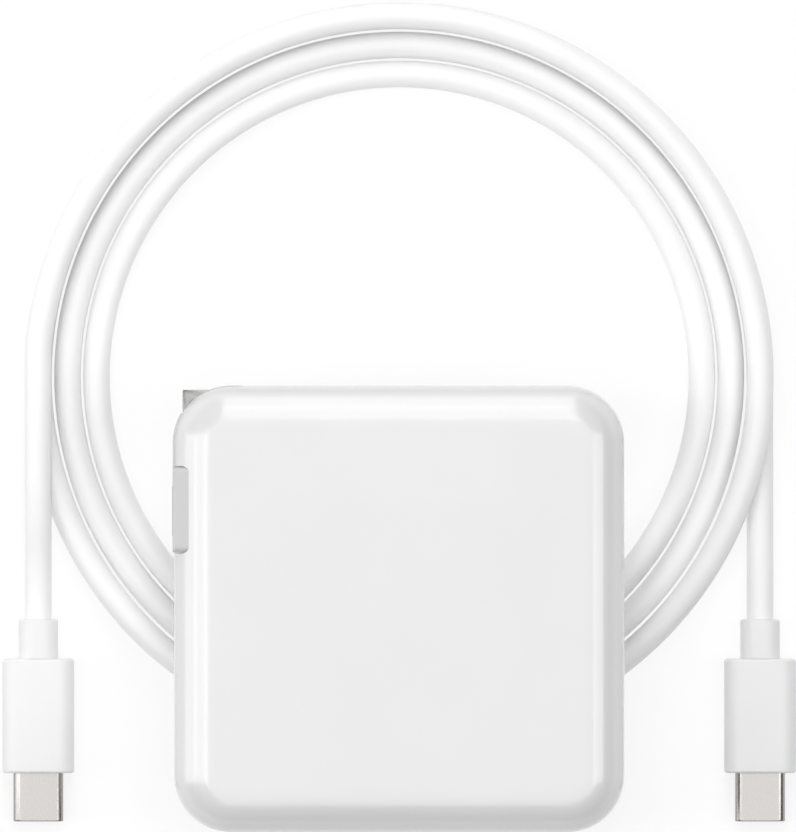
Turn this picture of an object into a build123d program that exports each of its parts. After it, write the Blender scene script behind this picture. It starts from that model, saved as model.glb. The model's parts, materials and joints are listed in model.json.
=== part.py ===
from build123d import *
import math
import os

os.makedirs("parts", exist_ok=True)

# Laptop power adapter with folding mains prongs and a USB-C cable, in millimetres.
# The origin is the centre of the adapter's body. +Z is up, out of its broad upper face.
# The adapter lies on its own coiled cable, and the cable lies on the table.

# ---------------------------------------------------------------- adapter body
WIDTH = 74.0
DEPTH = 73.4
THICKNESS = 28.6
CORNER = 9.4
EDGE = 6.3
WALL = 2.2
SEAM = 0.15
LIP_THICKNESS = 0.9
LIP_LOW = -3.0
LIP_HIGH = 1.6
HALF_X = WIDTH / 2
HALF_Z = THICKNESS / 2
FAR = 60.0

# ------------------------------------------------- folding prongs, NEMA 1-15 size
BLADE_WIDTH = 6.35
BLADE_THICKNESS = 1.52
BLADE_SPACING = 12.7
BLADE_LENGTH = 15.9
BLADE_HOLE = 1.6
BLADE_HOLE_FROM_TIP = 4.2
BLADE_OUTER_X = -35.6
BLADE_LEVELS = (BLADE_SPACING / 2, -BLADE_SPACING / 2)
ROOT_HALF = 1.0
ROOT_END = 5.75
PIVOT = (-33.5, 16.5)
HUB_RADIUS = 5.9
HUB_OUTER_FLAT = 3.8
HUB_PLUG_FLAT = 3.6
HUB_HALF = 9.4
POCKET_RADIUS = 6.2
POCKET_HALF = 9.7
PIN_RADIUS = 1.25
PIN_LOW = 7.8
PIN_HIGH = 12.0
PIN_HOLE_RADIUS = 1.30
PIN_HOLE_HIGH = 12.3
PLUG_FACE_Y = PIVOT[1] + HUB_PLUG_FLAT
BLADE_TIP_Y = PLUG_FACE_Y + BLADE_LENGTH
BLADE_X = BLADE_OUTER_X + BLADE_WIDTH / 2

# The bay frame carries the hub between two cheeks and lines the blades' slots.
TAB_PROUD = 0.15
TAB_LOW_Y = 9.3
TAB_HIGH_Y = 23.3
TAB_HALF = 12.95
TAB_EDGE = 0.9
TAB_RIM = 0.5
TAB_GAP = 0.12
BAY_BACK_X = -25.8
LINER_HALF = 9.0
LINER_PROUD = 0.2
LINER_PROUD_TOP_Y = 32.2
SLOT_BACK_X = -28.8
SLOT_WIDTH = 2.4
WINDOW_Y = (14.0, 19.0)
WINDOW_HALF = 8.2
LEAF = 0.4
LEAF_Y = (11.6, 21.4)
DIMPLE_Y = (15.4, 17.6)
DIMPLE_X = -27.0

# ----------------------------------------------------------- boards and shields
BOARD_TOP = -7.4
BOARD = 1.6
BOARD_HALF = 33.0
BOARD_CORNER = 5.0
NOTCH_X = -24.5
NOTCH_Y = 8.3
POSTS = ((-27.0, -30.0), (27.0, -30.0), (28.0, 29.0), (-20.0, 30.0))
POST_RADIUS = 2.0
SHEET_HALF = 31.5
SHEET_CORNER = 8.0
TOP_SHEET_LEFT = -20.0
SPREADER = 0.5
FILM = 0.25
TOP_SPREADER_Z = 10.2
BOTTOM_SPREADER_Z = -11.6

# ------------------------------------------------------- USB-C receptacle and plug
PORT_OUTER = (8.94, 3.16)
PORT_INNER = (8.34, 2.56)
PORT_FRONT = 36.4
PORT_BACK = 27.5
TONGUE = (6.69, 0.7)
CONTACT_PITCH = 0.5
CONTACT_COUNT = 12
OUTPUT_BOARD_TOP = -PORT_OUTER[1] / 2

# ------------------------------------------------------------------------ cable
CABLE = 4.4
CABLE_RADIUS = CABLE / 2
RING_CENTRE = (0.0, 38.2)
LANE_RADII = (59.65, 54.85, 50.05)
FLOOR = -HALF_Z - 2 * CABLE
LOWER = FLOOR + CABLE_RADIUS
UPPER = LOWER + CABLE
PLUG_X = 59.65
PLUG_Z = FLOOR + 3.1
RELIEF_TOP_Y = -1.9
RELIEF_SIZE = (6.5, 5.6)
OVERMOLD_TOP_Y = -8.4
OVERMOLD_SIZE = (11.85, 6.2)
OVERMOLD_BOTTOM_Y = -27.3
PLUG_TIP_Y = -35.3
PLUG_OUTER = (8.25, 2.40)
PLUG_WALL = 0.25
SHELL_SEAT = 3.0

# Each tail is straight seen from above and only climbs or sinks: (Y, Z) of its points.
LEFT_TAIL = ((RELIEF_TOP_Y, PLUG_Z), (6.0, PLUG_Z), (17.5, UPPER), (RING_CENTRE[1], UPPER))
RIGHT_TAIL = ((RELIEF_TOP_Y, PLUG_Z), (5.0, PLUG_Z), (14.0, LOWER), (30.0, LOWER))


def write(piece, label):
    """Label a finished piece and write its STEP file."""
    piece.part.label = label
    export_step(piece.part, f"parts/{label}.step")


# ===================================================================== casing


def body_block(inset):
    """The adapter's rounded block, shrunk on every side by the inset."""
    with BuildPart() as block:
        with BuildSketch(Plane.XY.offset(inset - HALF_Z)):
            RectangleRounded(WIDTH - 2 * inset, DEPTH - 2 * inset, CORNER - inset)
        extrude(amount=THICKNESS - 2 * inset)
        rims = block.faces().filter_by(Axis.Z).edges()
        fillet(rims, EDGE - inset)
    return block.part


def tab_block(outer_x, gap, rim):
    """The bay's end block, which comes out through the body's rounded edge."""
    with BuildPart() as block:
        with BuildSketch(Plane.XY.offset(-TAB_HALF)):
            with Locations(((outer_x + BAY_BACK_X) / 2, (TAB_LOW_Y + TAB_HIGH_Y) / 2)):
                Rectangle(BAY_BACK_X - outer_x, TAB_HIGH_Y - TAB_LOW_Y + 2 * gap)
        extrude(amount=2 * TAB_HALF)
        fillet(block.edges().filter_by(Axis.X), TAB_EDGE)
        fillet(block.faces().sort_by(Axis.X)[0].edges(), rim)
    return block.part


def bay_cut():
    """What the bay frame takes out of both casing halves."""
    with BuildPart() as cut:
        add(tab_block(-HALF_X - 3.0, TAB_GAP, TAB_RIM))
        with BuildSketch(Plane.XY.offset(-LINER_HALF)):
            with Locations((BAY_BACK_X, TAB_LOW_Y)):
                Rectangle(FAR, FAR, align=(Align.MAX, Align.MIN))
        extrude(amount=2 * LINER_HALF)
    return cut.part


def port_cut():
    """The hole that the USB-C receptacle shows through."""
    with BuildPart() as cut:
        with BuildSketch(Plane.YZ.offset(PORT_BACK - 1.0)):
            SlotOverall(PORT_OUTER[0] + 0.3, PORT_OUTER[1] + 0.3)
        extrude(amount=FAR)
    return cut.part


def casing_half(label, side, outer, inner, bay, port):
    """One half shell, with a fine groove along the joint between the halves."""
    keep = Keep.TOP if side > 0 else Keep.BOTTOM
    with BuildPart() as shell:
        add(outer)
        add(inner, mode=Mode.SUBTRACT)
        split(bisect_by=Plane.XY, keep=keep)
        with BuildSketch(Plane.XY):
            RectangleRounded(WIDTH + 1, DEPTH + 1, CORNER + 0.5)
            inset = 2 * SEAM
            RectangleRounded(WIDTH - inset, DEPTH - inset, CORNER - SEAM, mode=Mode.SUBTRACT)
        extrude(amount=side * SEAM, mode=Mode.SUBTRACT)
        if side < 0:
            add_alignment_lip()
            add_board_posts()
        add(bay, mode=Mode.SUBTRACT)
        add(port, mode=Mode.SUBTRACT)
    write(shell, label)


def add_alignment_lip():
    """The lower half's inner lip, which centres the upper half on it."""
    across = WIDTH - 2 * WALL
    along = DEPTH - 2 * WALL
    corner = CORNER - WALL
    with BuildSketch(Plane.XY.offset(LIP_LOW)) as lip:
        RectangleRounded(across, along, corner)
        thin = LIP_THICKNESS
        RectangleRounded(across - 2 * thin, along - 2 * thin, corner - thin, mode=Mode.SUBTRACT)
    extrude(lip.sketch, amount=LIP_HIGH - LIP_LOW)


def add_board_posts():
    """The lower half's posts, which the main board rests on."""
    with BuildSketch(Plane.XY.offset(WALL - HALF_Z)) as posts:
        with Locations(*POSTS):
            Circle(POST_RADIUS)
    extrude(posts.sketch, amount=BOARD_TOP - BOARD - (WALL - HALF_Z))


def make_casing():
    """Both half shells of the adapter's body."""
    outer = body_block(0)
    inner = body_block(WALL)
    bay = bay_cut()
    port = port_cut()
    casing_half("housing_top", 1, outer, inner, bay, port)
    casing_half("housing_bottom", -1, outer, inner, bay, port)


# ============================================================== folding prongs


def make_bay_frame():
    """The moulded frame with the hub's pocket, its cheeks and the blades' slots."""
    tab = tab_block(-HALF_X - TAB_PROUD, 0, TAB_RIM)
    with BuildPart() as frame:
        for proud, low_y, high_y in (
            (LINER_PROUD, TAB_LOW_Y, LINER_PROUD_TOP_Y),
            (0, LINER_PROUD_TOP_Y, FAR),
        ):
            with BuildSketch(Plane.XY.offset(-LINER_HALF)):
                RectangleRounded(WIDTH + 2 * proud, DEPTH + 2 * proud, CORNER + proud)
                with Locations((BAY_BACK_X, low_y)):
                    corner = (Align.MAX, Align.MIN)
                    Rectangle(FAR, high_y - low_y, align=corner, mode=Mode.INTERSECT)
            extrude(amount=2 * LINER_HALF)
        add(tab)
        with BuildSketch(Plane.XY.offset(-POCKET_HALF)):
            with Locations(PIVOT):
                Circle(POCKET_RADIUS)
        extrude(amount=2 * POCKET_HALF, mode=Mode.SUBTRACT)
        for level in BLADE_LEVELS:
            with BuildSketch(Plane.XY.offset(level - SLOT_WIDTH / 2)):
                with Locations((SLOT_BACK_X, PIVOT[1])):
                    Rectangle(FAR, FAR, align=(Align.MAX, Align.MIN))
            extrude(amount=SLOT_WIDTH, mode=Mode.SUBTRACT)
        with BuildSketch(Plane.XY.offset(-WINDOW_HALF)):
            with Locations((PIVOT[0], WINDOW_Y[0])):
                Rectangle(12.0, WINDOW_Y[1] - WINDOW_Y[0], align=Align.MIN)
        extrude(amount=2 * WINDOW_HALF, mode=Mode.SUBTRACT)
        with BuildSketch(Plane.XY.offset(-PIN_HOLE_HIGH)):
            with Locations(PIVOT):
                Circle(PIN_HOLE_RADIUS)
        extrude(amount=2 * PIN_HOLE_HIGH, mode=Mode.SUBTRACT)
    write(frame, "prong_bay_frame")


def blade_plan(root_end, tip_y):
    """A blade's outline: the wide part that shows and the narrow root in the hub."""
    width_start = PLUG_FACE_Y - 1.9
    with Locations((BLADE_X, width_start)):
        Rectangle(BLADE_WIDTH, tip_y - width_start, align=(Align.CENTER, Align.MIN))
    with Locations((PIVOT[0], PIVOT[1] - root_end)):
        root_length = width_start - PIVOT[1] + root_end
        Rectangle(2 * ROOT_HALF, root_length, align=(Align.CENTER, Align.MIN))


def make_blade(label, level):
    """One flat brass blade with the usual hole near its tip."""
    with BuildPart() as blade:
        with BuildSketch(Plane.XY.offset(level - BLADE_THICKNESS / 2)):
            blade_plan(ROOT_END, BLADE_TIP_Y)
            with Locations((BLADE_X, BLADE_TIP_Y - BLADE_HOLE_FROM_TIP)):
                Circle(BLADE_HOLE, mode=Mode.SUBTRACT)
        extrude(amount=BLADE_THICKNESS)
        tip = blade.faces().sort_by(Axis.Y)[-1]
        fillet(tip.edges().filter_by(Axis.Z), 0.4)
        tip = blade.faces().sort_by(Axis.Y)[-1]
        chamfer(tip.edges().filter_by(Axis.X), 0.35)
    write(blade, label)


def make_hub():
    """The turning drum, with flats that close the bay folded and unfolded."""
    with BuildPart() as hub:
        with BuildSketch(Plane.XY.offset(-HUB_HALF)) as section:
            with Locations(PIVOT):
                Circle(HUB_RADIUS)
            with Locations((PIVOT[0] - HUB_OUTER_FLAT, PLUG_FACE_Y)):
                Rectangle(FAR, FAR, align=(Align.MIN, Align.MAX), mode=Mode.INTERSECT)
            corner = section.vertices().sort_by(lambda v: v.Y - v.X)[-1]
            fillet(corner, 0.8)
        extrude(amount=2 * HUB_HALF)
        for level in BLADE_LEVELS:
            with BuildSketch(Plane.XY.offset(level - BLADE_THICKNESS / 2)):
                blade_plan(HUB_RADIUS + 1.0, PLUG_FACE_Y + 1.0)
            extrude(amount=BLADE_THICKNESS, mode=Mode.SUBTRACT)
        for start in (PIN_LOW, -FAR):
            with BuildSketch(Plane.XY.offset(start)):
                with Locations(PIVOT):
                    Circle(PIN_RADIUS)
            extrude(amount=FAR - PIN_LOW, mode=Mode.SUBTRACT)
    write(hub, "prong_hub")


def make_pivot_pins():
    """Two stub pins pressed into the hub's ends, which turn in the bay's cheeks."""
    with BuildPart() as pins:
        for start in (PIN_LOW, -PIN_HIGH):
            with BuildSketch(Plane.XY.offset(start)):
                with Locations(PIVOT):
                    Circle(PIN_RADIUS)
            extrude(amount=PIN_HIGH - PIN_LOW)
    write(pins, "hub_pivot_pins")


def make_leaf(label, low_z, high_z):
    """A leaf on the back of the bay, with a dimple that reaches in towards the hub."""
    with BuildPart() as leaf:
        with BuildSketch(Plane.XY.offset(low_z)):
            with Locations((BAY_BACK_X, LEAF_Y[0])):
                Rectangle(LEAF, LEAF_Y[1] - LEAF_Y[0], align=Align.MIN)
            with Locations((DIMPLE_X, DIMPLE_Y[0])):
                Rectangle(BAY_BACK_X - DIMPLE_X, DIMPLE_Y[1] - DIMPLE_Y[0], align=Align.MIN)
        extrude(amount=high_z - low_z)
    write(leaf, label)


def make_prongs():
    """Everything in the bay: the fixed frame and leaves, and the pieces that turn."""
    make_bay_frame()
    make_hub()
    make_pivot_pins()
    make_blade("blade_line", BLADE_LEVELS[0])
    make_blade("blade_neutral", BLADE_LEVELS[1])
    make_leaf("line_contact", 4.8, 8.0)
    make_leaf("neutral_contact", -8.0, -4.8)
    make_leaf("detent_spring", -3.0, 3.0)


# ================================================================== electronics


def block_piece(label, centre, size, base_z, rounding=0.4, leads=(), lead_radius=0.4):
    """A block on the board, standing on leads if it has any: centre, size, base height."""
    with BuildPart() as piece:
        with BuildSketch(Plane.XY.offset(base_z)):
            with Locations(centre):
                RectangleRounded(size[0], size[1], rounding)
        extrude(amount=size[2])
        if leads:
            with BuildSketch(Plane.XY.offset(BOARD_TOP)):
                with Locations(*leads):
                    Circle(lead_radius)
            extrude(amount=base_z - BOARD_TOP + 0.5)
    write(piece, label)


def standing_cans(label, centres, radius, height):
    """Round cans standing on the main board, each with a crimped groove near its foot."""
    with BuildPart() as cans:
        with BuildSketch(Plane.XY.offset(BOARD_TOP)):
            with Locations(*centres):
                Circle(radius)
        extrude(amount=height)
        with BuildSketch(Plane.XY.offset(BOARD_TOP + 1.4)):
            with Locations(*centres):
                Circle(radius + 1)
                Circle(radius - 0.35, mode=Mode.SUBTRACT)
        extrude(amount=0.6, mode=Mode.SUBTRACT)
        fillet(cans.faces().sort_by(Axis.Z).group_by(Axis.Z)[-1].edges(), 0.4)
    write(cans, label)


def lying_cans(label, centre_ys, start_x, radius, length):
    """Round cans lying along X on the main board."""
    with BuildPart() as cans:
        with BuildSketch(Plane.YZ.offset(start_x)):
            with Locations(*[(y, BOARD_TOP + radius) for y in centre_ys]):
                Circle(radius)
        extrude(amount=length)
        with BuildSketch(Plane.YZ.offset(start_x + 1.8)):
            with Locations(*[(y, BOARD_TOP + radius) for y in centre_ys]):
                Circle(radius + 1)
                Circle(radius - 0.4, mode=Mode.SUBTRACT)
        extrude(amount=0.8, mode=Mode.SUBTRACT)
        fillet(cans.faces().group_by(Axis.X)[-1].edges(), 0.5)
    write(cans, label)


def disc_piece(label, centre, radius, thickness):
    """A coated disc standing on two leads, with its axis along Y."""
    middle_z = BOARD_TOP + 1.2 + radius
    with BuildPart() as disc:
        with BuildSketch(Plane.XZ.offset(-centre[1] - thickness / 2)):
            with Locations((centre[0], middle_z)):
                Circle(radius)
        extrude(amount=thickness)
        fillet(disc.edges(), 0.9)
        with BuildSketch(Plane.XY.offset(BOARD_TOP)):
            with Locations((centre[0] - 2.5, centre[1]), (centre[0] + 2.5, centre[1])):
                Circle(0.35)
        extrude(amount=radius)
    write(disc, label)


def board_plan(half, corner, left):
    """A square sheet with round corners, cut away where the prong bay is."""
    with Locations(((left + half) / 2, 0)):
        RectangleRounded(half - left, 2 * half, corner)
    if left < NOTCH_X:
        with Locations((NOTCH_X, NOTCH_Y)):
            Rectangle(FAR, FAR, align=(Align.MAX, Align.MIN), mode=Mode.SUBTRACT)


def make_main_board():
    """The main circuit board."""
    with BuildPart() as board:
        with BuildSketch(Plane.XY.offset(BOARD_TOP - BOARD)):
            board_plan(BOARD_HALF, BOARD_CORNER, -BOARD_HALF)
        extrude(amount=BOARD)
    write(board, "main_board")


def make_sheet(label, low_z, thickness, left, holes):
    """A heat spreader or an insulating film, over or under the main board."""
    with BuildPart() as sheet:
        with BuildSketch(Plane.XY.offset(low_z)):
            board_plan(SHEET_HALF, SHEET_CORNER, left)
            if holes:
                with Locations(*POSTS):
                    Circle(POST_RADIUS + 0.4, mode=Mode.SUBTRACT)
        extrude(amount=thickness)
    write(sheet, label)


def make_choke():
    """The common-mode choke: a ferrite ring with two windings of round-cornered turns."""
    centre = (-23.5, -19.5)
    outer, inner, height = 8.0, 4.6, 6.5
    base_z = BOARD_TOP + 1.4
    with BuildPart() as core:
        with BuildSketch(Plane.XY.offset(base_z)):
            with Locations(centre):
                Circle(outer)
                Circle(inner, mode=Mode.SUBTRACT)
        extrude(amount=height)
    write(core, "choke_core")
    middle = (outer + inner) / 2
    wall = outer - inner
    wire = 0.8
    slack = 0.1
    with BuildPart() as turns:
        for start in (0, 180):
            for step in range(-3, 4):
                angle = start + 17 * step
                outward = Vector(math.cos(math.radians(angle)), math.sin(math.radians(angle)), 0)
                spot = Vector(centre[0], centre[1], base_z + height / 2) + outward * middle
                plane = Plane(spot, x_dir=outward, z_dir=outward.cross(Vector(0, 0, 1)))
                with BuildSketch(plane.offset(-wire / 2)):
                    RectangleRounded(wall + 2 * wire, height + 2 * wire, 0.7)
                    Rectangle(wall + slack, height + slack, mode=Mode.SUBTRACT)
                extrude(amount=wire)
    write(turns, "choke_windings")


def make_transformer():
    """The transformer: ferrite core, bobbin, winding and the bobbin's pins."""
    centre = (2.6, 4.5)
    middle_z = 1.0
    core_size = (26.0, 20.0, 7.0)
    leg = 6.0
    window = (18.0, 3.5)
    with BuildPart() as core:
        with BuildSketch(Plane.XY.offset(middle_z - core_size[2] / 2)):
            with Locations(centre):
                RectangleRounded(core_size[0], core_size[1], 0.6)
            shift = (leg + window[1]) / 2
            with Locations((centre[0], centre[1] + shift), (centre[0], centre[1] - shift)):
                Rectangle(*window, mode=Mode.SUBTRACT)
        extrude(amount=core_size[2])
    write(core, "transformer_core")
    wall = 0.7
    flange = 0.8
    reach = window[1] - 0.1
    height = core_size[2] + 2 * reach
    start = centre[0] - window[0] / 2
    with BuildPart() as bobbin:
        with BuildSketch(Plane.YZ.offset(start)):
            with Locations((centre[1], middle_z)):
                Rectangle(leg + 2 * wall, core_size[2] + 2 * wall)
                Rectangle(leg, core_size[2], mode=Mode.SUBTRACT)
        extrude(amount=window[0])
        for spot in (start, start + window[0] - flange):
            with BuildSketch(Plane.YZ.offset(spot)):
                with Locations((centre[1], middle_z)):
                    Rectangle(leg + 2 * reach, height)
                    Rectangle(leg, core_size[2], mode=Mode.SUBTRACT)
            extrude(amount=flange)
    write(bobbin, "transformer_bobbin")
    with BuildPart() as winding:
        with BuildSketch(Plane.YZ.offset(start + flange)):
            with Locations((centre[1], middle_z)):
                RectangleRounded(leg + 2 * reach - 0.6, height - 0.6, 1.5)
                Rectangle(leg + 2 * wall, core_size[2] + 2 * wall, mode=Mode.SUBTRACT)
        extrude(amount=window[0] - 2 * flange)
    write(winding, "transformer_winding")
    low = middle_z - height / 2
    spots = [
        (x, centre[1] + y)
        for x in (start + flange / 2, start + window[0] - flange / 2)
        for y in (-4.5, -1.5, 1.5, 4.5)
    ]
    with BuildPart() as pins:
        with BuildSketch(Plane.XY.offset(BOARD_TOP)):
            with Locations(*spots):
                Circle(0.35)
        extrude(amount=low - BOARD_TOP)
    write(pins, "transformer_pins")
    return middle_z + height / 2 - 0.3


def make_switch_stage():
    """The switching transistor and the heat sink that it is clipped to."""
    sink_x = -15.6
    with BuildPart() as sink:
        with BuildSketch(Plane.XY.offset(BOARD_TOP)):
            with Locations((sink_x, -6.0)):
                Rectangle(1.5, 20.0, align=Align.MIN)
            with Locations((sink_x - 4.5, 13.0)):
                Rectangle(5.0, 1.0, align=Align.MIN)
        extrude(amount=15.5)
    write(sink, "primary_heatsink")
    with BuildPart() as switch:
        with BuildSketch(Plane.XY.offset(-2.5)):
            with Locations((sink_x, -1.5)):
                Rectangle(4.4, 10.0, align=(Align.MAX, Align.MIN))
        extrude(amount=9.0)
        with BuildSketch(Plane.XY.offset(BOARD_TOP)):
            with Locations(*[(sink_x - 2.4, y) for y in (1.0, 3.5, 6.0)]):
                Rectangle(0.5, 0.8)
        extrude(amount=5.5)
    write(switch, "switch_transistor")


def make_wires():
    """Two insulated leads from the prong contacts down to the main board."""
    start_x = BAY_BACK_X + LEAF
    routes = (
        ((start_x, 14.0, 6.4), (-21.5, 14.0, 6.4), (-21.5, 12.0, -1.0), (-21.5, 12.0, BOARD_TOP)),
        ((start_x, 19.0, -5.6), (-22.8, 19.0, -5.6), (-22.8, 19.0, BOARD_TOP)),
    )
    radii = ((1.6, 1.6), (0.9,))
    with BuildPart() as wires:
        for route, bends in zip(routes, radii):
            with BuildLine() as path:
                FilletPolyline(*route, radius=bends)
            with BuildSketch(Plane(path.line @ 0, z_dir=path.line % 0)):
                Circle(0.75)
            sweep(path=path.line)
    write(wires, "input_wires")


def make_inductor():
    """The output choke: a drum wound between two ferrite flanges."""
    with BuildPart() as drum:
        for base, radius, height in ((0, 5.2, 1.2), (1.2, 3.6, 5.0), (6.2, 5.2, 1.2)):
            with BuildSketch(Plane.XY.offset(BOARD_TOP + base)):
                with Locations((27.0, -21.5)):
                    Circle(radius)
            extrude(amount=height)
    write(drum, "output_choke_core")
    with BuildPart() as winding:
        with BuildSketch(Plane.XY.offset(BOARD_TOP + 1.2)):
            with Locations((27.0, -21.5)):
                Circle(4.8)
                Circle(3.6, mode=Mode.SUBTRACT)
        extrude(amount=5.0)
    write(winding, "output_choke_winding")


def group_of_blocks(label, centres, size, base_z):
    """Identical flat packages on a board."""
    with BuildPart() as group:
        with BuildSketch(Plane.XY.offset(base_z)):
            with Locations(*centres):
                Rectangle(size[0], size[1])
        extrude(amount=size[2])
    write(group, label)


def make_electronics():
    """The boards and everything on them, and the sheets above and below."""
    make_main_board()
    fuse = (-28.5, 3.0)
    block_piece("fuse", fuse, (8.0, 8.0, 7.0), BOARD_TOP + 1, 3.9, ((-30.5, 3.0), (-26.5, 3.0)))
    disc_piece("inrush_thermistor", (-28.5, -6.5), 4.5, 3.6)
    make_choke()
    x_leads = ((-17.0, 26.0), (-3.0, 26.0))
    block_piece("x_capacitor", (-10.0, 26.0), (18.0, 8.5, 14.0), BOARD_TOP + 0.5, 0.5, x_leads)
    disc_piece("y_capacitor", (7.5, 27.0), 4.2, 3.6)
    bridge_leads = [(-14.0 + 3.8 * index, 18.2) for index in range(4)]
    block_piece("bridge_rectifier", (-8.3, 18.2), (15.0, 3.6, 10.0), BOARD_TOP + 3, 0.5, bridge_leads)
    lying_cans("bulk_capacitors", (-25.4, -12.6), -12.5, 6.2, 26.0)
    make_switch_stage()
    winding_top = make_transformer()
    make_wires()
    cans = [(x, y) for x in (21.2, 29.0) for y in (16.6, 25.0)]
    standing_cans("output_capacitors", cans, 3.6, 12.0)
    make_inductor()
    block_piece("optocoupler", (18.6, -14.5), (4.6, 6.5, 3.4), BOARD_TOP, 0.2)
    group_of_blocks("rectifier_transistors", ((24.0, 6.0), (24.0, -6.0)), (5.0, 6.0, 1.2), BOARD_TOP)
    group_of_blocks("switching_controller", ((18.4, -26.0),), (4.0, 5.0, 1.5), BOARD_TOP)
    with BuildPart() as pad:
        with BuildSketch(Plane.XY.offset(winding_top)):
            with Locations((2.6, 4.5)):
                RectangleRounded(14.0, 10.0, 1.0)
        extrude(amount=TOP_SPREADER_Z - winding_top)
    write(pad, "thermal_pad")
    make_sheet("top_heat_spreader", TOP_SPREADER_Z, SPREADER, TOP_SHEET_LEFT, False)
    make_sheet("top_insulator", TOP_SPREADER_Z + SPREADER, FILM, TOP_SHEET_LEFT, False)
    make_sheet("bottom_heat_spreader", BOTTOM_SPREADER_Z, SPREADER, -SHEET_HALF, True)
    make_sheet("bottom_insulator", BOTTOM_SPREADER_Z + SPREADER, FILM, -SHEET_HALF, True)


# ============================================================ USB-C receptacle


def make_output_board():
    """The small board that carries the receptacle, on pins above the main board."""
    low = OUTPUT_BOARD_TOP - BOARD
    with BuildPart() as board:
        with BuildSketch(Plane.XY.offset(low)):
            with Locations((18.0, 0)):
                Rectangle(15.4, 22.0, align=(Align.MIN, Align.CENTER))
        extrude(amount=BOARD)
    write(board, "output_board")
    with BuildPart() as pins:
        with BuildSketch(Plane.XY.offset(BOARD_TOP)):
            with Locations(*[(19.4, 2.54 * index) for index in range(-3, 4)]):
                Rectangle(0.64, 0.64)
        extrude(amount=low - BOARD_TOP)
    write(pins, "board_link_pins")
    group_of_blocks("delivery_controller", ((22.5, 6.5),), (5.0, 5.0, 0.9), OUTPUT_BOARD_TOP)


def make_port():
    """The receptacle: steel shell, tongue with its base, and the tongue's contacts."""
    with BuildPart() as shell:
        with BuildSketch(Plane.YZ.offset(PORT_BACK)):
            SlotOverall(*PORT_OUTER)
            SlotOverall(*PORT_INNER, mode=Mode.SUBTRACT)
        extrude(amount=PORT_FRONT - PORT_BACK)
    write(shell, "port_shell")
    with BuildPart() as tongue:
        with BuildSketch(Plane.YZ.offset(PORT_BACK)):
            SlotOverall(*PORT_INNER)
        extrude(amount=1.8)
        with BuildSketch(Plane.YZ.offset(PORT_BACK)):
            RectangleRounded(*TONGUE, 0.2)
        extrude(amount=PORT_FRONT - PORT_BACK - 0.6)
    write(tongue, "port_tongue")
    contact_row("port_contacts", Plane.YZ.offset(PORT_BACK + 2.4), 5.6, TONGUE[1] / 2, 0.1)


def contact_row(label, plane, length, level, thickness):
    """Twelve gilt contacts above and twelve below the middle of a connector."""
    half_row = (CONTACT_COUNT - 1) / 2
    with BuildPart() as contacts:
        with BuildSketch(plane):
            for side in (1, -1):
                middle = side * (level + thickness / 2)
                spots = [(CONTACT_PITCH * (i - half_row), middle) for i in range(CONTACT_COUNT)]
                with Locations(*spots):
                    Rectangle(0.26, thickness)
        extrude(amount=length)
    write(contacts, label)


# ======================================================================= cable


def plug_plane(side, y):
    """A plane across a plug at the given Y, looking towards the plug's tip."""
    return Plane((side * PLUG_X, y, PLUG_Z), x_dir=(1, 0, 0), z_dir=(0, -1, 0))


def make_plug(name, side):
    """One USB-C plug: sleeve, grip, steel shell, insulator and contacts."""
    with BuildPart() as relief:
        with BuildSketch(plug_plane(side, RELIEF_TOP_Y)):
            RectangleRounded(*RELIEF_SIZE, 2.6)
        extrude(amount=RELIEF_TOP_Y - OVERMOLD_TOP_Y)
    write(relief, f"{name}_strain_relief")
    with BuildPart() as grip:
        with BuildSketch(plug_plane(side, OVERMOLD_TOP_Y)):
            RectangleRounded(*OVERMOLD_SIZE, 2.7)
        extrude(amount=OVERMOLD_TOP_Y - OVERMOLD_BOTTOM_Y)
        fillet(grip.faces().filter_by(Axis.Y).edges(), 0.6)
        with BuildSketch(plug_plane(side, OVERMOLD_BOTTOM_Y + SHELL_SEAT)):
            SlotOverall(*PLUG_OUTER)
        extrude(amount=SHELL_SEAT + 1, mode=Mode.SUBTRACT)
    write(grip, f"{name}_overmold")
    length = OVERMOLD_BOTTOM_Y + SHELL_SEAT - PLUG_TIP_Y
    hollow = (PLUG_OUTER[0] - 2 * PLUG_WALL, PLUG_OUTER[1] - 2 * PLUG_WALL)
    with BuildPart() as shell:
        with BuildSketch(plug_plane(side, OVERMOLD_BOTTOM_Y + SHELL_SEAT)):
            SlotOverall(*PLUG_OUTER)
            SlotOverall(*hollow, mode=Mode.SUBTRACT)
        extrude(amount=length)
    write(shell, f"{name}_shell")
    with BuildPart() as insulator:
        with BuildSketch(plug_plane(side, OVERMOLD_BOTTOM_Y + SHELL_SEAT)):
            SlotOverall(*hollow)
        extrude(amount=length - 0.3)
        with BuildSketch(plug_plane(side, PLUG_TIP_Y + 6.2)):
            RectangleRounded(6.9, 1.2, 0.3)
        extrude(amount=7.0, mode=Mode.SUBTRACT)
    write(insulator, f"{name}_insulator")
    contact_row(f"{name}_contacts", plug_plane(side, PLUG_TIP_Y + 6.2), 5.0, 0.48, 0.12)


def upper_sector(inner, outer, start, sweep):
    """A stretch of ring in the coil's upper layer, from one angle on through a sweep."""
    with BuildSketch(Plane.XY.offset(FLOOR + CABLE)) as sector:
        with BuildLine():
            far_arc = CenterArc(RING_CENTRE, outer, start, sweep)
            near_arc = CenterArc(RING_CENTRE, inner, start, sweep)
            Line(far_arc @ 0, near_arc @ 0)
            Line(far_arc @ 1, near_arc @ 1)
        make_face()
    return sector.sketch


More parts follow.
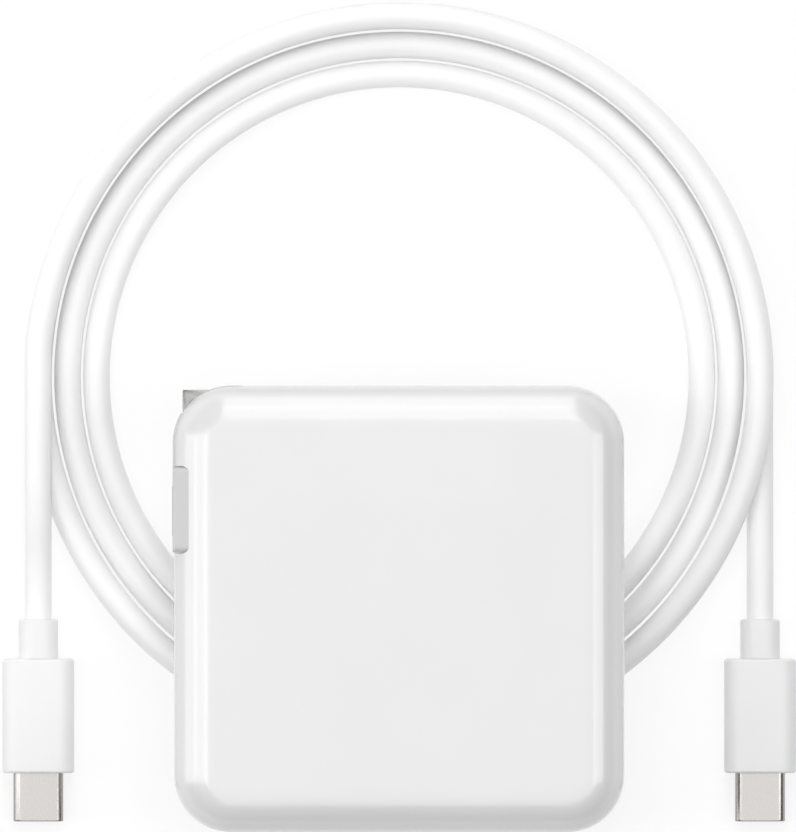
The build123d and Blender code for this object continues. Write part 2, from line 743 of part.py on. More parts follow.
def make_coil():
    """The coil's outer shape: three lanes side by side, and the lane that lies on them."""
    outer = LANE_RADII[0] + CABLE_RADIUS
    inner = LANE_RADII[-1] - CABLE_RADIUS
    with BuildPart() as coil:
        with BuildSketch(Plane.XY.offset(FLOOR)):
            with Locations(RING_CENTRE):
                Circle(outer)
                Circle(inner, mode=Mode.SUBTRACT)
        extrude(amount=CABLE)
        extrude(upper_sector(LANE_RADII[0] - CABLE_RADIUS, outer, -40, 220), amount=CABLE)
        extrude(upper_sector(inner, outer, -150, 120), amount=CABLE)
    write(coil, "cable_coil")


def tangent_radii(points):
    """For each corner, the largest arc that its two runs leave room for."""
    radii = []
    for before, corner, after in zip(points, points[1:], points[2:]):
        one, other = corner - before, after - corner
        turn = math.radians(one.get_angle(other))
        radii.append(0.45 * min(one.length, other.length) / math.tan(turn / 2))
    return radii


def make_tail(label, side, heights):
    """The uncoiled stretch of cable between a plug and the coil."""
    points = [Vector(side * PLUG_X, y, z) for y, z in heights]
    radii = tangent_radii(points)
    with BuildPart() as tail:
        with BuildLine() as path:
            FilletPolyline(*points, radius=radii)
        with BuildSketch(Plane(path.line @ 0, z_dir=path.line % 0)):
            Circle(CABLE_RADIUS)
        sweep(path=path.line)
    length = sum(edge.length for edge in path.line.edges())
    expected = math.pi * CABLE_RADIUS**2 * length
    rounded = [round(radius, 1) for radius in radii]
    share = tail.part.volume / expected
    print(label, "length", round(length, 1), "bends", rounded, "volume share", round(share, 4))
    write(tail, label)


def make_cable():
    """The whole cable: a plug, a tail, the coil, a tail and a plug."""
    make_coil()
    make_tail("cable_tail_left", -1, LEFT_TAIL)
    make_tail("cable_tail_right", 1, RIGHT_TAIL)
    make_plug("left_plug", -1)
    make_plug("right_plug", 1)


make_casing()
make_prongs()
make_electronics()
make_output_board()
make_port()
make_cable()
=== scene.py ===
import json
import math

import bmesh
import bpy
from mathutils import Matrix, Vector


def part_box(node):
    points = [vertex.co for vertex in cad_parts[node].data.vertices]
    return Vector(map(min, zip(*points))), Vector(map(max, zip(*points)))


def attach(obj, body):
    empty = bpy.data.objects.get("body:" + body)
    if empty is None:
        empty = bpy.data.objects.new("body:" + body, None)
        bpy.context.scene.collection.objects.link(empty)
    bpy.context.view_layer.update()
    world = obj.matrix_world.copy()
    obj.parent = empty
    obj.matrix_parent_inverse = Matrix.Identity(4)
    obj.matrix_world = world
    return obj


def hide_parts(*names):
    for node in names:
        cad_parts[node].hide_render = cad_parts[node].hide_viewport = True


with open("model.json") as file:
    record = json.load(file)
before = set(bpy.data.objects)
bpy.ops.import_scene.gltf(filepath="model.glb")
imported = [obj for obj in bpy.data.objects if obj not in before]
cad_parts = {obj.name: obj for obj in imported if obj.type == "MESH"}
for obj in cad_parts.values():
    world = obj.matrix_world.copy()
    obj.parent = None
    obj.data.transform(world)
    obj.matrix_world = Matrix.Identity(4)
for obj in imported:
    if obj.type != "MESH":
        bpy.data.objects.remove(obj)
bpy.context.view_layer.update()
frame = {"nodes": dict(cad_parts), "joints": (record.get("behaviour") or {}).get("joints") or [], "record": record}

# Lengths are in millimetres until a mesh, curve, lamp or camera is made.
MM = 0.001
MAIN_BODY = "adapter"
TURNING_BODY = "prongs"

# ----------------------------------------------------------------- camera and studio
CAMERA_PLACE = (-0.2, 31.7, 4500.0)
WIDTH_SEEN = 131.0
SENSOR_WIDTH = 36.0
FARTHEST_SEEN_M = 100.0
# The brightness of the room, and of the floor where it's far away, and the heights
# between which the room's walls change from one to the other.
ROOM = 0.08
FAR_FLOOR = 0.81
PALE_BELOW = 0.02
DIM_ABOVE = 0.10
FLOOR_REACH = 30000
FLOOR_GREYS = (0.21, 0.23)
FLOOR_GLOW = 0.755
# Each lamp's name, place, width and height, and radiance. All are turned to one point.
LIT_POINT = (0, 25, 0)
STRIP = (520, 860)
LAMPS = (
    ("overhead", (100, -150, 1600), (1500, 1500), 1.85),
    ("left_low", (-1150, 25, 430), STRIP, 2.6),
    ("left_high", (-780, 25, 1080), STRIP, 3.0),
    ("top_low", (0, 1175, 430), STRIP, 2.6),
    ("top_high", (0, 805, 1080), STRIP, 3.0),
    ("right_high", (900, 25, 1120), (560, 700), 2.9),
)

# ------------------------------------------------------------------------ materials
# The part of a noise field's range that colour and roughness are spread over.
NOISE_LOW = 0.2
NOISE_HIGH = 0.8
BLOTCH_SCALE = 60
SHEEN_SCALE = 900
SHEEN_SPREAD = 0.02
DRAWING_SCALE = 900


def cad_box(node):
    """A CAD node's lowest and highest corners, in millimetres."""
    low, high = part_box(node)
    return Vector(low) / MM, Vector(high) / MM


# --------------------------------------------------------------- the adapter's body
TOP_HIGH = cad_box("housing_top")[1]
HALF_X = TOP_HIGH.x
HALF_Y = TOP_HIGH.y
HALF_Z = TOP_HIGH.z
CORNER = 9.4
EDGE = 6.9
EDGE_POWER = 2.2
WALL = 2.2
# The joint groove: its depth, half its width, and the ease of its lips.
SEAM_DEPTH = 0.22
SEAM_HALF = 0.14
SEAM_EASE = 0.06
PORT_CLEARANCE = 0.15
PORT_FLARE = 0.35
# Well outside the body: to its left, beyond its top edge, and above and below it.
CLEAR_X = -2 * HALF_X
CLEAR_Y = 2 * HALF_Y
CLEAR_Z = 20

# ------------------------------------------------------------------- the prong bay
BAY_LOW, BAY_HIGH = cad_box("prong_bay_frame")
BAY_BACK = BAY_HIGH.x
BAY_FACE = BAY_LOW.x
TAB_HALF = BAY_HIGH.z
TAB_Y = (9.3, 23.3)
TAB_ROUND = 1.0
TAB_RIM = 0.5
TAB_GAP = 0.14
LINER_HALF = 9.0
LINER_PROUD = 0.2
LINER_PROUD_TOP = 32.2
SLOT_BACK = -28.8
SLOT_WIDTH = 2.4
POCKET_RADIUS = 6.2
POCKET_HALF = 9.7
WINDOW_Y = (14.0, 19.0)
WINDOW_HALF = 8.2
JOINT = next(joint for joint in frame["joints"] if joint["name"] == "prong_fold")
PIVOT = Vector(JOINT["pos_m"]) / MM
HUB_RADIUS = 5.9
HUB_LOW, HUB_HIGH = cad_box("prong_hub")
PIN_HOLE_RADIUS = 1.3
PIN_HOLE_HALF = 12.3
BLADES = {"line": "blade_line", "neutral": "blade_neutral"}
BLADE_HOLE = 1.6
BLADE_HOLE_FROM_TIP = 4.2
SHOULDER_DEPTH = 1.9
ROOT_HALF = 1.0

# ----------------------------------------------------------------------- the cable
COIL_LOW, COIL_HIGH = cad_box("cable_coil")
FLOOR = COIL_LOW.z
CABLE = 4.4
LOWER = FLOOR + CABLE / 2
UPPER = LOWER + CABLE
RING_CENTRE = (COIL_LOW + COIL_HIGH) / 2
LANES = (59.65, 54.85, 50.05)
POINTS_PER_TURN = 24
TURNS = 3.5
PLUG_X = 59.65
PLUG_Z = FLOOR + 3.1

# ------------------------------------------------------------------------- the plugs
SLEEVE_CORNER = 2.6
SLEEVE_FILLET = 0.35
GRIP_CORNER = 2.7
GRIP_BACK_FILLET = 0.6
GRIP_FRONT_FILLET = 0.45
# The gap round the shell where it leaves the grip, and the gap's eased mouth.
SHELL_GAP = 0.06
MOUTH_EASE = 0.12
MOUTH_DEPTH = 0.8
SHELL_WALL = 0.25
SHELL_LIP = 0.2
# Keeps a round end's radius just under its half height.
NEARLY_ROUND = 0.01

# Two uncoiled ends, each from its plug on, then the coil between them.
LEFT_TAIL = (
    (-PLUG_X, -1.9, PLUG_Z),
    (-PLUG_X, 6.0, PLUG_Z),
    (-PLUG_X, 17.5, UPPER),
    (-PLUG_X, 38.2, UPPER),
)
RIGHT_TAIL = (
    (PLUG_X, 30.0, LOWER),
    (PLUG_X, 14.0, LOWER),
    (PLUG_X, 5.0, PLUG_Z),
    (PLUG_X, -1.9, PLUG_Z),
)

# Where the coil changes lane or layer: degrees turned from its left side, value there.
RADIUS_STOPS = (
    (0, LANES[0]),
    (240, LANES[0]),
    (300, LANES[1]),
    (600, LANES[1]),
    (660, LANES[2]),
    (948, LANES[2]),
    (1026, LANES[0]),
    (1260, LANES[0]),
)
LEVEL_STOPS = (
    (0, UPPER),
    (202, UPPER),
    (230, LOWER),
    (916, LOWER),
    (944, UPPER),
    (1028, UPPER),
    (1056, LOWER),
    (1260, LOWER),
)


# =============================================================== camera and studio


def make_camera():
    """A long lens straight above, with the adapter's left and right level."""
    data = bpy.data.cameras.new("camera")
    data.sensor_fit = "HORIZONTAL"
    data.sensor_width = SENSOR_WIDTH
    data.lens = SENSOR_WIDTH * CAMERA_PLACE[2] / WIDTH_SEEN
    data.clip_end = FARTHEST_SEEN_M
    camera = bpy.data.objects.new("camera", data)
    camera.location = Vector(CAMERA_PLACE) * MM
    bpy.context.collection.objects.link(camera)
    bpy.context.scene.camera = camera


def area_light(name, place, size, radiance):
    """A soft rectangular lamp at a place, turned to the lit point and itself unseen."""
    data = bpy.data.lights.new(name, "AREA")
    data.shape = "RECTANGLE"
    data.size, data.size_y = (side * MM for side in size)
    data.energy = radiance * math.pi * data.size * data.size_y
    lamp = bpy.data.objects.new(name, data)
    lamp.location = Vector(place) * MM
    direction = (Vector(LIT_POINT) - Vector(place)).normalized()
    lamp.rotation_euler = direction.to_track_quat("-Z", "Y").to_euler()
    lamp.visible_camera = False
    bpy.context.collection.objects.link(lamp)


def make_world():
    """A dim room whose lowest part is as pale as the far floor."""
    world = bpy.data.worlds.new("studio")
    world.use_nodes = True
    tree = world.node_tree
    place = tree.nodes.new("ShaderNodeTexCoord")
    split = tree.nodes.new("ShaderNodeSeparateXYZ")
    level = tree.nodes.new("ShaderNodeMapRange")
    level.inputs["From Min"].default_value = PALE_BELOW
    level.inputs["From Max"].default_value = DIM_ABOVE
    level.inputs["To Min"].default_value = FAR_FLOOR
    level.inputs["To Max"].default_value = ROOM
    tree.links.new(place.outputs["Generated"], split.inputs["Vector"])
    tree.links.new(split.outputs["Z"], level.inputs["Value"])
    background = tree.nodes["Background"]
    tree.links.new(level.outputs["Result"], background.inputs["Strength"])
    background.inputs["Color"].default_value = (1, 1, 1, 1)
    bpy.context.scene.world = world


def make_studio():
    """A softbox overhead, strips at the left, right and beyond the top, and a pale floor."""
    for name, place, size, radiance in LAMPS:
        area_light(name, place, size, radiance)
    make_world()
    bpy.context.scene.view_settings.view_transform = "Standard"
    mesh = bpy.data.meshes.new("floor")
    reach = FLOOR_REACH * MM
    corners = [(-reach, -reach), (reach, -reach), (reach, reach), (-reach, reach)]
    mesh.from_pydata([(x, y, FLOOR * MM) for x, y in corners], [], [(0, 1, 2, 3)])
    floor = bpy.data.objects.new("floor", mesh)
    floor.data.materials.append(material_floor())
    bpy.context.collection.objects.link(floor)


# ======================================================================= materials


def new_material(name):
    """An empty node material with its shader and the object's own coordinates."""
    material = bpy.data.materials.new(name)
    material.use_nodes = True
    nodes = material.node_tree.nodes
    shader = nodes["Principled BSDF"]
    place = nodes.new("ShaderNodeTexCoord")
    return material, shader, place.outputs["Object"]


def noise(material, vector, scale, detail=2.0, stretch=None):
    """A noise field's value, stretched along an axis where the surface is brushed."""
    tree = material.node_tree
    if stretch:
        mapping = tree.nodes.new("ShaderNodeMapping")
        mapping.inputs["Scale"].default_value = stretch
        tree.links.new(vector, mapping.inputs["Vector"])
        vector = mapping.outputs["Vector"]
    field = tree.nodes.new("ShaderNodeTexNoise")
    field.inputs["Scale"].default_value = scale
    field.inputs["Detail"].default_value = detail
    tree.links.new(vector, field.inputs["Vector"])
    return field.outputs["Fac"]


def vary_colour(material, shader, value, low, high):
    """The base colour, drifting between two near ones."""
    tree = material.node_tree
    ramp = tree.nodes.new("ShaderNodeValToRGB")
    first, last = ramp.color_ramp.elements
    first.position = NOISE_LOW
    last.position = NOISE_HIGH
    first.color = (*low, 1)
    last.color = (*high, 1)
    tree.links.new(value, ramp.inputs["Fac"])
    tree.links.new(ramp.outputs["Color"], shader.inputs["Base Color"])


def vary_roughness(material, shader, value, low, high):
    """The roughness, drifting between two values."""
    tree = material.node_tree
    spread = tree.nodes.new("ShaderNodeMapRange")
    spread.inputs["From Min"].default_value = NOISE_LOW
    spread.inputs["From Max"].default_value = NOISE_HIGH
    spread.inputs["To Min"].default_value = low
    spread.inputs["To Max"].default_value = high
    tree.links.new(value, spread.inputs["Value"])
    tree.links.new(spread.outputs["Result"], shader.inputs["Roughness"])


def add_bump(material, shader, value, strength, depth):
    """Fine relief, its depth in millimetres."""
    tree = material.node_tree
    bump = tree.nodes.new("ShaderNodeBump")
    bump.inputs["Strength"].default_value = strength
    bump.inputs["Distance"].default_value = depth * MM
    tree.links.new(value, bump.inputs["Height"])
    tree.links.new(bump.outputs["Normal"], shader.inputs["Normal"])


def moulded(name, low, high, rough, grain=2500, relief=0.004, coat=0.0):
    """Moulded plastic or rubber with a fine grain."""
    material, shader, place = new_material(name)
    vary_colour(material, shader, noise(material, place, BLOTCH_SCALE), low, high)
    sheen = noise(material, place, SHEEN_SCALE)
    vary_roughness(material, shader, sheen, rough - SHEEN_SPREAD, rough + SHEEN_SPREAD)
    add_bump(material, shader, noise(material, place, grain, 3), 0.6, relief)
    shader.inputs["Coat Weight"].default_value = coat
    shader.inputs["Coat Roughness"].default_value = 0.12
    shader.inputs["IOR"].default_value = 1.5
    return material


def metal(name, low, high, rough, stretch, relief=0.002):
    """Plated or bare metal with fine drawing marks along one axis."""
    material, shader, place = new_material(name)
    marks = noise(material, place, DRAWING_SCALE, 4, stretch)
    vary_colour(material, shader, marks, low, high)
    vary_roughness(material, shader, marks, rough - 0.06, rough + 0.08)
    add_bump(material, shader, marks, 0.5, relief)
    shader.inputs["Metallic"].default_value = 1.0
    return material


def grey(level):
    """A neutral colour."""
    return (level, level, level)


def material_floor():
    """A near-white table top that glows a little, like a light table."""
    material, shader, place = new_material("floor")
    low, high = (grey(level) for level in FLOOR_GREYS)
    vary_colour(material, shader, noise(material, place, 8), low, high)
    shader.inputs["Roughness"].default_value = 0.9
    shader.inputs["Emission Color"].default_value = (1, 1, 1, 1)
    shader.inputs["Emission Strength"].default_value = FLOOR_GLOW
    return material


# Moulded: darkest and palest colour, roughness, grain's scale, relief's depth, coat.
MOULDED = {
    "white_plastic": (grey(0.675), grey(0.695), 0.30, 2200, 0.002, 0.85),
    "grey_plastic": (grey(0.52), grey(0.56), 0.42, 2600, 0.006),
    "cable_jacket": (grey(0.85), grey(0.88), 0.42, 3200, 0.006),
    "soft_white": (grey(0.77), grey(0.80), 0.40, 3000, 0.005),
    "board_green": ((0.02, 0.13, 0.06), (0.03, 0.19, 0.08), 0.34, 900, 0.02),
    "dark_plastic": (grey(0.018), grey(0.03), 0.45, 2400, 0.010),
    "ferrite": (grey(0.03), grey(0.05), 0.62, 1200, 0.020),
    "capacitor_sleeve": ((0.01, 0.015, 0.04), (0.02, 0.03, 0.07), 0.28),
    "yellow_box": ((0.56, 0.40, 0.05), (0.64, 0.48, 0.08), 0.42),
    "blue_coat": ((0.03, 0.10, 0.38), (0.05, 0.15, 0.48), 0.25, 700, 0.03),
    "film": ((0.70, 0.62, 0.40), (0.76, 0.68, 0.46), 0.30, 500, 0.01),
    "thermal_rubber": ((0.20, 0.26, 0.34), (0.26, 0.32, 0.40), 0.70, 1500, 0.03),
    "wire_insulation": (grey(0.55), grey(0.62), 0.35, 1800),
}
# Metal: darkest and palest colour, roughness, stretch across its marks, relief's depth.
METAL = {
    "nickel_plated": ((0.24, 0.235, 0.23), (0.29, 0.285, 0.28), 0.26, (14, 1, 14), 0.001),
    "stainless": ((0.35, 0.338, 0.326), (0.39, 0.377, 0.365), 0.24, (14, 1, 14), 0.001),
    "steel": ((0.50, 0.50, 0.51), (0.60, 0.60, 0.61), 0.32, (1, 1, 10)),
    "gilt_brass": ((0.80, 0.60, 0.26), (0.90, 0.70, 0.34), 0.22, (1, 8, 8)),
    "aluminium_sheet": (grey(0.72), grey(0.80), 0.34, (1, 20, 1)),
    "copper": ((0.62, 0.27, 0.10), (0.74, 0.36, 0.16), 0.30, (3, 3, 3)),
}
MATERIALS = {name: moulded(name, *values) for name, values in MOULDED.items()}
MATERIALS.update({name: metal(name, *values) for name, values in METAL.items()})


def dress_cad_nodes():
    """Every CAD node gets its material slot's detailed material."""
    for subpart in frame["record"]["subparts"]:
        piece = frame["nodes"][subpart["node"]]
        for slot in piece.material_slots:
            slot.material = MATERIALS[subpart["material_slot"]]


# ================================================================== mesh building


def rounded_ring(half_x, half_y, radius, arc_steps=14, side_steps=6):
    """A rounded rectangle's points, anticlockwise, the same count for every size."""
    points = []
    for quarter in range(4):
        sign_x = 1 if quarter in (0, 3) else -1
        sign_y = 1 if quarter in (0, 1) else -1
        hub = Vector((sign_x * (half_x - radius), sign_y * (half_y - radius)))
        arc = []
        for step in range(arc_steps + 1):
            angle = math.radians(90 * (quarter + step / arc_steps))
            arc.append(hub + radius * Vector((math.cos(angle), math.sin(angle))))
        if points:
            points += between(points[-1], arc[0], side_steps)
        points += arc
    return points + between(points[-1], points[0], side_steps)


def between(start, end, count):
    """Evenly spaced points strictly between two."""
    return [start.lerp(end, (step + 1) / (count + 1)) for step in range(count)]


def new_piece(name, shape, material, smooth_angle=35):
    """A mesh object made from a bmesh in millimetres, smooth where it is curved."""
    bmesh.ops.recalc_face_normals(shape, faces=shape.faces)
    bmesh.ops.scale(shape, vec=(MM, MM, MM), verts=shape.verts)
    mesh = bpy.data.meshes.new(name)
    shape.to_mesh(mesh)
    shape.free()
    piece = bpy.data.objects.new(name, mesh)
    bpy.context.collection.objects.link(piece)
    mesh.materials.append(MATERIALS[material])
    smooth(piece, smooth_angle)
    return piece


def smooth(piece, angle=35):
    """Smooth shading that breaks at edges sharper than the angle."""
    piece.data.shade_smooth()
    piece.data.set_sharp_from_angle(angle=math.radians(angle))


def loft(name, rings, material, smooth_angle=35):
    """A closed skin through rings of equal counts, with a flat cap at each end."""
    shape = bmesh.new()
    rows = [[shape.verts.new(point) for point in ring] for ring in rings]
    for row, next_row in zip(rows, rows[1:]):
        for index in range(len(row)):
            after = (index + 1) % len(row)
            shape.faces.new((row[index], row[after], next_row[after], next_row[index]))
    shape.faces.new(rows[0])
    shape.faces.new(rows[-1])
    return new_piece(name, shape, material, smooth_angle)


def apply_modifiers(piece, smooth_angle=35):
    """Replaces a piece's mesh with what its modifiers make of it."""
    graph = bpy.context.evaluated_depsgraph_get()
    mesh = bpy.data.meshes.new_from_object(piece.evaluated_get(graph))
    piece.modifiers.clear()
    piece.data = mesh
    smooth(piece, smooth_angle)


def combine(piece, other, operation):
    """Cuts another piece out of this one or joins it on, and removes the other."""
    modifier = piece.modifiers.new(operation, "BOOLEAN")
    modifier.operation = operation
    modifier.solver = "EXACT"
    modifier.object = other
    apply_modifiers(piece)
    bpy.data.objects.remove(other)


def soften(piece, width, segments=2, angle=50):
    """Rounds a piece's sharp edges a little, as moulds and dies do."""
    modifier = piece.modifiers.new("soften", "BEVEL")
    modifier.width = width * MM
    modifier.segments = segments
    modifier.limit_method = "ANGLE"
    modifier.angle_limit = math.radians(angle)
    apply_modifiers(piece)


def prism(name, outline, low, high, material="grey_plastic"):
    """An outline in the XY plane carried from one height to another."""
    rings = [[Vector((x, y, z)) for x, y in outline] for z in (low, high)]
    return loft(name, rings, material)


def box_outline(low_x, low_y, high_x, high_y):
    """A rectangle's four corners."""
    return [(low_x, low_y), (high_x, low_y), (high_x, high_y), (low_x, high_y)]


def circle_outline(centre, radius, count=96):
    """A circle as a fine polygon."""
    x, y = centre[0], centre[1]
    angles = [math.tau * step / count for step in range(count)]
    return [(x + radius * math.cos(a), y + radius * math.sin(a)) for a in angles]


# ========================================================================== cable


def eased(stops, turned):
    """The value at an angle, passing smoothly from each stop to the next."""
    for (start, value), (end, next_value) in zip(stops, stops[1:]):
        if turned <= end:
            share = (turned - start) / (end - start)
            share = share * share * (3 - 2 * share)
            return value + (next_value - value) * share
    return stops[-1][1]


def coil_points():
    """Control points of the coil, clockwise from its left side."""
    step = 360 / POINTS_PER_TURN
    # A quadratic spline runs this share of its control points' radius from the centre.
    reach = 0.75 + 0.25 * math.cos(math.radians(step))
    points = []
    for index in range(round(TURNS * POINTS_PER_TURN)):
        turned = (index + 0.5) * step
        angle = math.radians(180 - turned)
        radius = eased(RADIUS_STOPS, turned) / reach
        x = RING_CENTRE.x + radius * math.cos(angle)
        y = RING_CENTRE.y + radius * math.sin(angle)
        points.append((x, y, eased(LEVEL_STOPS, turned)))
    return points


def make_cable():
    """The whole cable from plug to plug: one smooth curve at its real thickness."""
    points = [*LEFT_TAIL, *coil_points(), *RIGHT_TAIL]
    data = bpy.data.curves.new("usb_cable", "CURVE")
    data.dimensions = "3D"
    spline = data.splines.new("NURBS")
    spline.points.add(len(points) - 1)
    for control, point in zip(spline.points, points):
        control.co = (*(Vector(point) * MM), 1)
    spline.order_u = 3
    spline.use_endpoint_u = True
    spline.resolution_u = 8
    data.bevel_depth = CABLE / 2 * MM
    data.bevel_resolution = 8
    data.use_fill_caps = True
    cable = bpy.data.objects.new("usb_cable", data)
    bpy.context.collection.objects.link(cable)
    data.materials.append(MATERIALS["cable_jacket"])
    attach(cable, MAIN_BODY)
    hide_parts("cable_coil", "cable_tail_left", "cable_tail_right")
    return cable


# ========================================================================== plugs


def across(section, x, y, z):
    """A section's ring of points, set across the plug's length at y."""
    return [Vector((x + point.x, y, z + point.y)) for point in section]


def lengthwise_loft(name, stations, x, z, material):
    """A skin along Y: each station gives y, half width, half height and corner radius."""
    rings = [across(rounded_ring(*size, 10, 3), x, y, z) for y, *size in stations]
    return loft(name, rings, material, 40)


def rounded_end(y, towards, half_x, half_z, radius, fillet, steps=5):
    """Stations that round an end over: from the flat end out to the full section."""
    stations = []
    for step in range(steps + 1):
        angle = math.radians(90 * step / steps)
        inset = fillet * (1 - math.sin(angle))
        along = fillet * (1 - math.cos(angle))
        sizes = (half_x - inset, half_z - inset, radius - inset)
        stations.append((y + towards * along, *sizes))
    return stations


def make_relief(name, node):
    """The plain sleeve round the cable where it enters the plug."""
    low, high = cad_box(node)
    x, z = (low.x + high.x) / 2, (low.z + high.z) / 2
    size = ((high.x - low.x) / 2, (high.z - low.z) / 2, SLEEVE_CORNER)
    stations = rounded_end(high.y, -1, *size, SLEEVE_FILLET)
    stations.append((low.y, *size))
    piece = lengthwise_loft(name, stations, x, z, "soft_white")
    return piece


def make_grip(name, node, shell_node):
    """The moulded grip, with a fine groove round the steel shell at its end."""
    low, high = cad_box(node)
    shell_low, shell_high = cad_box(shell_node)
    x, z = (low.x + high.x) / 2, (low.z + high.z) / 2
    size = ((high.x - low.x) / 2, (high.z - low.z) / 2, GRIP_CORNER)
    hole_z = (shell_high.z - shell_low.z) / 2 + SHELL_GAP
    hole_x = (shell_high.x - shell_low.x) / 2 + SHELL_GAP
    hole = (hole_x, hole_z, hole_z - NEARLY_ROUND)
    mouth = (hole_x + MOUTH_EASE, hole_z + MOUTH_EASE, hole_z + 0.1)
    stations = rounded_end(high.y, -1, *size, GRIP_BACK_FILLET)
    stations += reversed(rounded_end(low.y, 1, *size, GRIP_FRONT_FILLET))
    stations.append((low.y, *mouth))
    stations.append((low.y + MOUTH_EASE, *hole))
    stations.append((low.y + MOUTH_DEPTH, *hole))
    piece = lengthwise_loft(name, stations, x, z, "soft_white")
    return piece


def make_shell(name, node):
    """The steel shell: a drawn tube with a rolled mouth."""
    low, high = cad_box(node)
    x, z = (low.x + high.x) / 2, (low.z + high.z) / 2
    half_x, half_z = (high.x - low.x) / 2, (high.z - low.z) / 2
    stations = [(high.y, half_x, half_z, half_z - NEARLY_ROUND)]
    for step in range(9):
        angle = math.radians(180 * step / 8)
        inset = SHELL_WALL / 2 * (1 - math.cos(angle))
        along = low.y + SHELL_LIP * (1 - math.sin(angle))
        drawn_in = (half_x - inset, half_z - inset, half_z - inset - NEARLY_ROUND)
        stations.append((along, *drawn_in))
    bore_x, bore_z = half_x - SHELL_WALL, half_z - SHELL_WALL
    stations.append((high.y - SHELL_LIP, bore_x, bore_z, bore_z - NEARLY_ROUND))
    piece = lengthwise_loft(name, stations, x, z, "stainless")
    return piece


def make_plug(side):
    """One plug's visible pieces, in place of their CAD nodes."""
    nodes = {part: f"{side}_plug_{part}" for part in ("strain_relief", "overmold", "shell")}
    pieces = (
        make_relief(f"{side}_relief_sleeve", nodes["strain_relief"]),
        make_grip(f"{side}_grip", nodes["overmold"], nodes["shell"]),
        make_shell(f"{side}_plug_tube", nodes["shell"]),
    )
    for piece, node in zip(pieces, nodes.values()):
        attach(piece, MAIN_BODY)
        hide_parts(node)
    return list(pieces)


# ======================================================================== housing


def edge_profile(radius, steps=14):
    """How far the body's rounded edge stands in and down, from its face to its side."""
    profile = []
    for step in range(steps + 1):
        angle = math.radians(90 * step / steps)
        inset = radius * (1 - math.sin(angle) ** (2 / EDGE_POWER))
        drop = radius * (1 - math.cos(angle) ** (2 / EDGE_POWER))
        profile.append((inset, drop))
    return profile


def body_ring(inset, z):
    """The body's outline, drawn in by an inset, at a height."""
    ring = rounded_ring(HALF_X - inset, HALF_Y - inset, CORNER - inset, 18, 10)
    return [Vector((point.x, point.y, z)) for point in ring]


def make_half_shell(name, node, side):
    """One half of the casing: outside, joint groove, rim and inside in a single skin."""
    rings = [body_ring(inset, side * (HALF_Z - drop)) for inset, drop in edge_profile(EDGE)]
    for z in (4.0, SEAM_HALF + 0.2):
        rings.append(body_ring(0, side * z))
    rings.append(body_ring(SEAM_EASE, side * (SEAM_HALF + 0.02)))
    rings.append(body_ring(SEAM_DEPTH, side * SEAM_HALF))
    rings.append(body_ring(SEAM_DEPTH + 0.05, 0))
    rings.append(body_ring(WALL, 0))
    inner = edge_profile(EDGE - WALL)
    for inset, drop in reversed(inner):
        rings.append(body_ring(WALL + inset, side * (HALF_Z - WALL - drop)))
    piece = loft(name, rings, "white_plastic")
    combine(piece, tab_solid("tab_cut", HALF_X + 3.0, TAB_GAP), "DIFFERENCE")
    liner = box_outline(CLEAR_X, TAB_Y[0], BAY_BACK, CLEAR_Y)
    combine(piece, prism("liner_cut", liner, -LINER_HALF, LINER_HALF), "DIFFERENCE")
    combine(piece, port_cutter(), "DIFFERENCE")
    smooth(piece, 30)
    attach(piece, MAIN_BODY)
    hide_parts(node)


def port_cutter():
    """The hole for the USB-C receptacle, with a slightly flared mouth."""
    low, high = cad_box("port_shell")
    half_y = (high.y - low.y) / 2 + PORT_CLEARANCE
    half_z = (high.z - low.z) / 2 + PORT_CLEARANCE
    stations = (
        (low.x - 1, 0),
        (HALF_X - PORT_FLARE, 0),
        (HALF_X + PORT_FLARE, 2 * PORT_FLARE),
    )
    rings = []
    for x, grow in stations:
        wide, tall = half_y + grow, half_z + grow
        section = rounded_ring(wide, tall, tall - NEARLY_ROUND, 10, 3)
        rings.append([Vector((x, point.x, point.y)) for point in section])
    return loft("port_cut", rings, "white_plastic")


# ===================================================================== prong bay


def tab_solid(name, reach, gap):
    """The bay's end block: rounded at its corners, reaching out to -reach."""
    shape = bmesh.new()
    low = Vector((-reach, TAB_Y[0] - gap, -TAB_HALF))
    high = Vector((BAY_BACK, TAB_Y[1] + gap, TAB_HALF))
    bmesh.ops.create_cube(shape, size=1)
    for vertex in shape.verts:
        vertex.co = [low[i] if vertex.co[i] < 0 else high[i] for i in range(3)]
    along_x = [e for e in shape.edges if abs(e.verts[0].co.x - e.verts[1].co.x) > 1]
    arc = {"profile": 0.5, "affect": "EDGES"}
    bmesh.ops.bevel(shape, geom=along_x, offset=TAB_ROUND, segments=8, **arc)
    rim = [e for e in shape.edges if all(abs(v.co.x + reach) < 0.001 for v in e.verts)]
    bmesh.ops.bevel(shape, geom=rim, offset=TAB_RIM, segments=6, **arc)
    return new_piece(name, shape, "grey_plastic")


def body_outline(proud):
    """The body seen from above, stood off by a distance."""
    ring = rounded_ring(HALF_X + proud, HALF_Y + proud, CORNER + proud, 64, 10)
    return [(point.x, point.y) for point in ring]


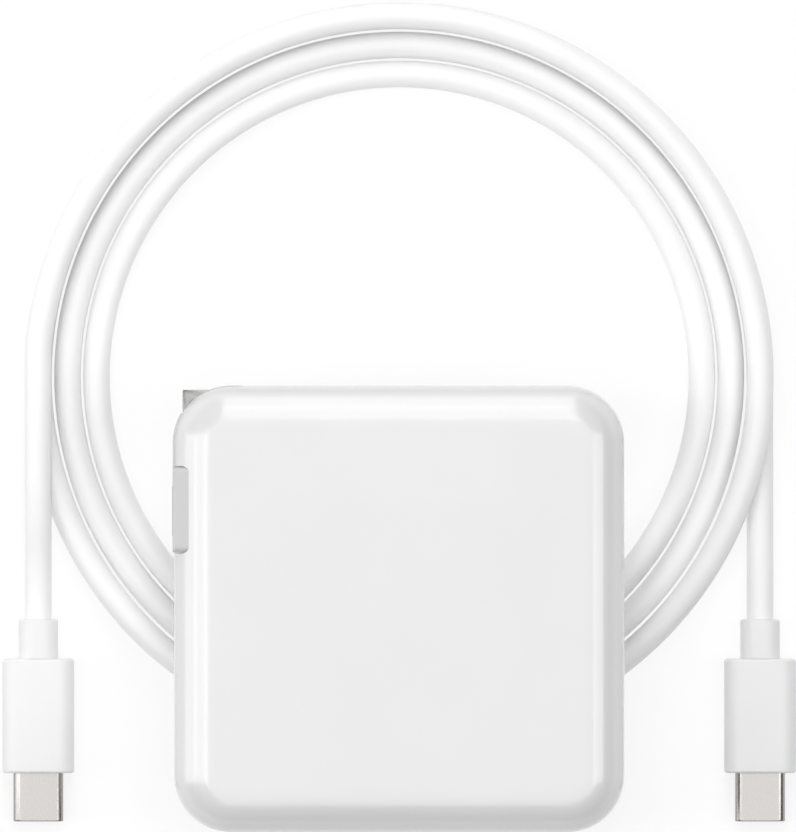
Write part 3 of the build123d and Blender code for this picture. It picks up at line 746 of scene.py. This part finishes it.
def make_bay_frame():
    """The grey moulding that carries the hub and lines the blades' slots."""
    piece = tab_solid("bay_frame", -BAY_FACE, 0)
    slab = box_outline(CLEAR_X, TAB_Y[0], BAY_BACK, CLEAR_Y)
    liner = prism("liner", slab, -LINER_HALF, LINER_HALF)
    limit = prism("body_limit", body_outline(LINER_PROUD), -CLEAR_Z, CLEAR_Z)
    combine(liner, limit, "INTERSECT")
    corner = box_outline(CLEAR_X, LINER_PROUD_TOP, BAY_BACK + 1, CLEAR_Y)
    flush = prism("flush_zone", corner, -CLEAR_Z, CLEAR_Z)
    core = prism("body_core", body_outline(0), -1.5 * CLEAR_Z, 1.5 * CLEAR_Z)
    combine(flush, core, "DIFFERENCE")
    combine(liner, flush, "DIFFERENCE")
    combine(piece, liner, "UNION")
    round_pocket = circle_outline(PIVOT, POCKET_RADIUS)
    combine(piece, prism("pocket", round_pocket, -POCKET_HALF, POCKET_HALF), "DIFFERENCE")
    for node in BLADES.values():
        low, high = cad_box(node)
        level = (low.z + high.z) / 2
        slot = box_outline(CLEAR_X, PIVOT.y, SLOT_BACK, CLEAR_Y)
        cutter = prism("slot", slot, level - SLOT_WIDTH / 2, level + SLOT_WIDTH / 2)
        combine(piece, cutter, "DIFFERENCE")
    window = box_outline(PIVOT.x, WINDOW_Y[0], BAY_BACK + 1, WINDOW_Y[1])
    combine(piece, prism("window", window, -WINDOW_HALF, WINDOW_HALF), "DIFFERENCE")
    pin_hole = circle_outline(PIVOT, PIN_HOLE_RADIUS)
    holes = prism("pin_holes", pin_hole, -PIN_HOLE_HALF, PIN_HOLE_HALF)
    combine(piece, holes, "DIFFERENCE")
    soften(piece, 0.1)
    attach(piece, MAIN_BODY)
    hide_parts("prong_bay_frame")


def blade_outline(root_y, tip_y):
    """A blade seen flat: its wide part and its narrow root."""
    low, high = cad_box("blade_line")
    shoulder = HUB_HIGH.y - SHOULDER_DEPTH
    left, right = PIVOT.x - ROOT_HALF, PIVOT.x + ROOT_HALF
    return [
        (left, root_y),
        (right, root_y),
        (right, shoulder),
        (high.x, shoulder),
        (high.x, tip_y),
        (low.x, tip_y),
        (low.x, shoulder),
        (left, shoulder),
    ]


def make_blade(name, node):
    """One plated blade, with its hole and eased edges."""
    low, high = cad_box(node)
    piece = prism(name, blade_outline(low.y, high.y), low.z, high.z, "nickel_plated")
    centre = ((low.x + high.x) / 2, high.y - BLADE_HOLE_FROM_TIP)
    hole = prism("hole", circle_outline(centre, BLADE_HOLE, 48), low.z - 1, high.z + 1)
    combine(piece, hole, "DIFFERENCE")
    soften(piece, 0.22, 3)
    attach(piece, TURNING_BODY)
    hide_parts(node)


def make_hub():
    """The grey drum that the blades stand in, with its two flats."""
    outline = []
    face_x, face_y = HUB_LOW.x, HUB_HIGH.y
    for x, y in circle_outline(PIVOT, HUB_RADIUS, 120):
        outline.append((max(x, face_x), min(y, face_y)))
    piece = prism("hub_drum", outline, HUB_LOW.z, HUB_HIGH.z)
    soften(piece, 0.25, 3, 30)
    for node in BLADES.values():
        low, high = cad_box(node)
        slot = blade_outline(PIVOT.y - HUB_RADIUS - 1, HUB_HIGH.y + 1)
        combine(piece, prism("blade_slot", slot, low.z, high.z), "DIFFERENCE")
    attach(piece, TURNING_BODY)
    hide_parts("prong_hub")


# ========================================================================== build

make_camera()
cable = make_cable()
left_plug = make_plug("left")
right_plug = make_plug("right")
make_studio()
dress_cad_nodes()
make_half_shell("casing_top", "housing_top", 1)
make_half_shell("casing_bottom", "housing_bottom", -1)
make_bay_frame()
make_hub()
make_blade("line_blade", "blade_line")
make_blade("neutral_blade", "blade_neutral")
